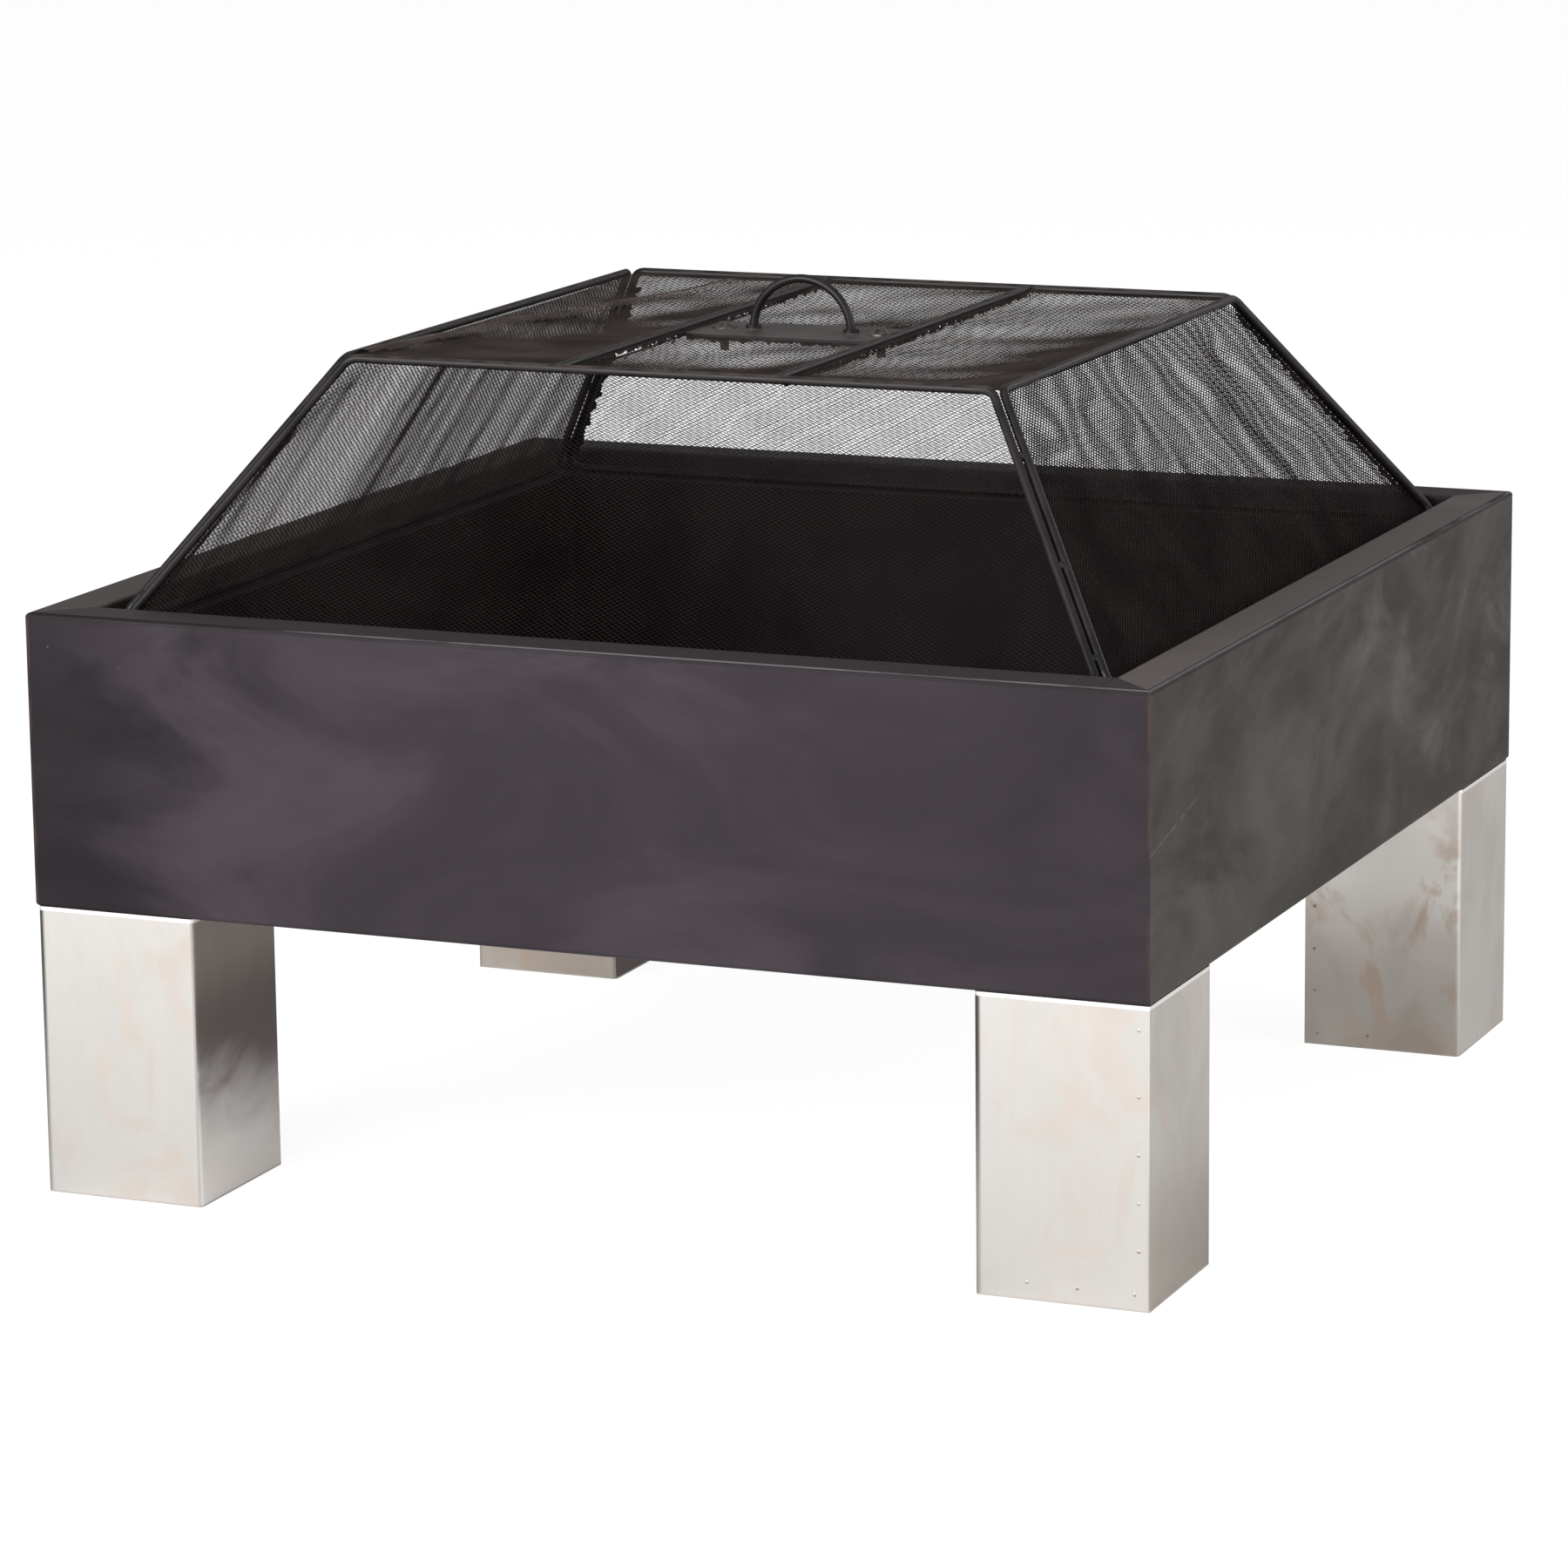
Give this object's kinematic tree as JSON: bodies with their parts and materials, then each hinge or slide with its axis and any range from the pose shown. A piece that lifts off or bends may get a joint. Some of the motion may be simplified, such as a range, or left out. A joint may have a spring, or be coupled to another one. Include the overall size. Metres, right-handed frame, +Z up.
{
  "type": "fire pit",
  "caption": "Square steel fire pit: folded surround on four box legs, drop-in fire bowl with a log grate, and a lift-off mesh spark screen with a handle.",
  "frame": {"origin": "on the ground, under the middle of the square surround", "axes": "+Z up; +X to the right along the front; +Y from the front to the back"},
  "size_m": [0.66, 0.66, 0.493],
  "materials": {
    "surround": "dark gunmetal coating, satin, clouded and lightly worn on the edges",
    "leg": "bright sheet steel, satin, with faint heat and handling stains",
    "fastener": "plated, dulled",
    "bowl": "matt black heat-proof paint",
    "grate": "matt black heat-proof paint",
    "wire": "satin black-brown paint on round wire",
    "mesh": "matt black-brown paint on fine steel mesh",
    "handle": "satin black-brown paint"
  },
  "bodies": {
    "root": {"surround_front_panel": "surround", "surround_rear_panel": "surround", "surround_left_panel": "surround", "surround_right_panel": "surround", "corner_angle_front_left": "surround", "mount_plate_front_left": "surround", "corner_angle_front_right": "surround", "mount_plate_front_right": "surround", "corner_angle_rear_left": "surround", "mount_plate_rear_left": "surround", "corner_angle_rear_right": "surround", "mount_plate_rear_right": "surround", "leg_front_left": "leg", "leg_front_right": "leg", "leg_rear_left": "leg", "leg_rear_right": "leg", "leg_top_cap_front_left": "leg", "leg_top_cap_front_right": "leg", "leg_top_cap_rear_left": "leg", "leg_top_cap_rear_right": "leg", "foot_cap_front_left": "leg", "foot_cap_front_right": "leg", "foot_cap_rear_left": "leg", "foot_cap_rear_right": "leg", "leg_bolts": "fastener", "leg_washers": "fastener", "leg_nuts": "fastener"},
    "fire_bowl": {"fire_bowl": "bowl"},
    "log_grate": {"grate_bars": "grate", "grate_front_runner": "grate", "grate_rear_runner": "grate", "grate_feet": "grate"},
    "spark_screen": {"screen_front_frame": "wire", "screen_rear_frame": "wire", "screen_left_frame": "wire", "screen_right_frame": "wire", "screen_front_mesh": "mesh", "screen_rear_mesh": "mesh", "screen_left_mesh": "mesh", "screen_right_mesh": "mesh", "screen_corner_welds": "wire", "cross_bar_left": "wire", "cross_bar_right": "wire", "top_mesh_left": "mesh", "top_mesh_middle": "mesh", "top_mesh_right": "mesh", "handle_plate": "handle", "handle_loop": "handle", "handle_collars": "handle", "handle_screws": "fastener", "handle_washers": "fastener", "handle_nuts": "fastener"}
  },
  "joints": [
    {"name": "bowl_lift", "type": "slide", "parent": "root", "child": "fire_bowl", "axis": [0, 0, 1], "range_m": [0, 0.16]},
    {"name": "grate_lift", "type": "slide", "parent": "fire_bowl", "child": "log_grate", "axis": [0, 0, 1], "range_m": [0, 0.14]},
    {"name": "screen_lift", "type": "slide", "parent": "log_grate", "child": "spark_screen", "axis": [0, 0, 1], "range_m": [0, 0.16]}
  ]
}
